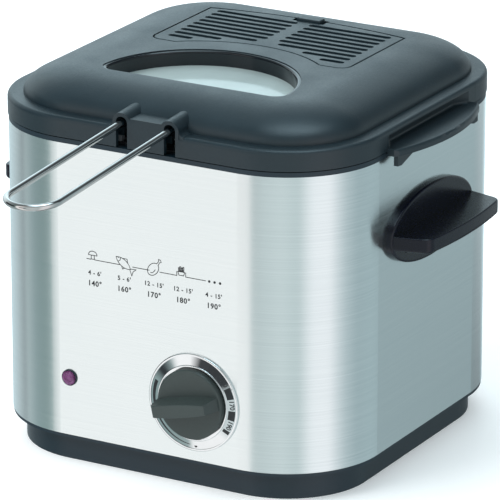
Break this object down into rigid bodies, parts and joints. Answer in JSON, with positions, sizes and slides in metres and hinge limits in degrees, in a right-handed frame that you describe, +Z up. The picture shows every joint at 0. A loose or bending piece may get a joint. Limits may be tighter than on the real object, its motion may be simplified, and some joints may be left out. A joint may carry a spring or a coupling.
{
  "type": "deep fryer",
  "caption": "Compact square deep fryer: brushed steel body, lift-off dark lid with window and filter cover, wire-handled frying basket, thermostat knob and pilot lamp.",
  "frame": {"origin": "middle of the body on the plane the feet stand on", "axes": "+Z up, -Y towards the user (knob and basket handle), +X to the right seen from above with the knob nearest"},
  "size_m": [0.26, 0.3337, 0.2036],
  "materials": {
    "lid_plastic": "fine matte texture",
    "dark_plastic": "matte",
    "handle_plastic": "satin gloss",
    "frame_plastic": "glossy black",
    "knob_plastic": "satin",
    "brushed_steel": "brushed horizontally",
    "bright_wire": "bright",
    "chrome": "mirror",
    "zinc_steel": "zinc plated",
    "aluminium": "cast",
    "non_stick": "dark non-stick coating, semi-gloss",
    "glass": "clear, slightly green",
    "lens": "translucent violet red",
    "neon_glass": "clear",
    "rubber": "matte",
    "seal": "grey silicone",
    "thermoset": "phenolic",
    "terminal_plastic": "matte",
    "sleeving": "braided glass-fibre sleeve",
    "brass": "plain",
    "carbon_pad": "open felt",
    "fleece": "open felt",
    "gauze": "woven metal gauze"
  },
  "bodies": {
    "fryer": {"base_tray": "dark_plastic", "rubber_feet": "rubber", "tie_bolts": "zinc_steel", "steel_wrap": "brushed_steel", "top_collar": "dark_plastic", "oil_bowl": "non_stick", "heat_spreader": "aluminium", "heating_element": "zinc_steel", "bowl_stud": "zinc_steel", "heat_shield": "zinc_steel", "shield_spacers": "zinc_steel", "cross_brace": "zinc_steel", "brace_fasteners": "zinc_steel", "thermostat_body": "thermoset", "thermostat_sensor": "brass", "sensor_clips": "zinc_steel", "thermal_cutout": "thermoset", "terminal_block": "terminal_plastic", "terminal_screws": "brass", "lamp_lens": "lens", "lamp_ring": "dark_plastic", "lamp_holder": "terminal_plastic", "neon_lamp": "neon_glass", "inlet_gland": "dark_plastic", "wiring_harness": "sleeving", "control_bezel": "chrome", "dial_plate": "chrome", "thermostat_screws": "zinc_steel", "side_handle_left": "handle_plastic", "side_handle_right": "handle_plastic", "handle_screws": "zinc_steel"},
    "knob": {"control_knob": "knob_plastic", "knob_spindle": "zinc_steel"},
    "basket": {"basket_mesh": "bright_wire", "basket_rim": "bright_wire", "basket_legs": "bright_wire", "handle_bracket": "bright_wire"},
    "wire_handle": {"basket_handle": "bright_wire"},
    "lid": {"lid_cover": "lid_plastic", "window_frame": "frame_plastic", "window_glass": "glass", "window_retainer": "zinc_steel", "window_screws": "zinc_steel", "lid_seal": "seal", "filter_tray": "dark_plastic", "tray_screws": "zinc_steel", "carbon_filter": "carbon_pad", "grease_filter": "fleece", "filter_gauze": "gauze"},
    "filter_door": {"filter_cover": "lid_plastic"}
  },
  "joints": [
    {"name": "knob_turn", "type": "hinge", "parent": "fryer", "child": "knob", "pos_m": [0.0275, -0.105, 0.048], "axis": [0, 1, 0], "range_deg": [-262, 36]},
    {"name": "basket_lift", "type": "slide", "parent": "fryer", "child": "basket", "axis": [0, 0, 1], "range_m": [0, 0.11]},
    {"name": "handle_pull", "type": "slide", "parent": "basket", "child": "wire_handle", "axis": [0, -0.9978, -0.0663], "range_m": [0, 0.045]},
    {"name": "lid_lift", "type": "slide", "parent": "basket", "child": "lid", "axis": [0, 0, 1], "range_m": [0, 0.08]},
    {"name": "filter_door_tilt", "type": "hinge", "parent": "lid", "child": "filter_door", "pos_m": [0, -0.0028, 0.2023], "axis": [1, 0, 0], "range_deg": [0, 75]}
  ]
}
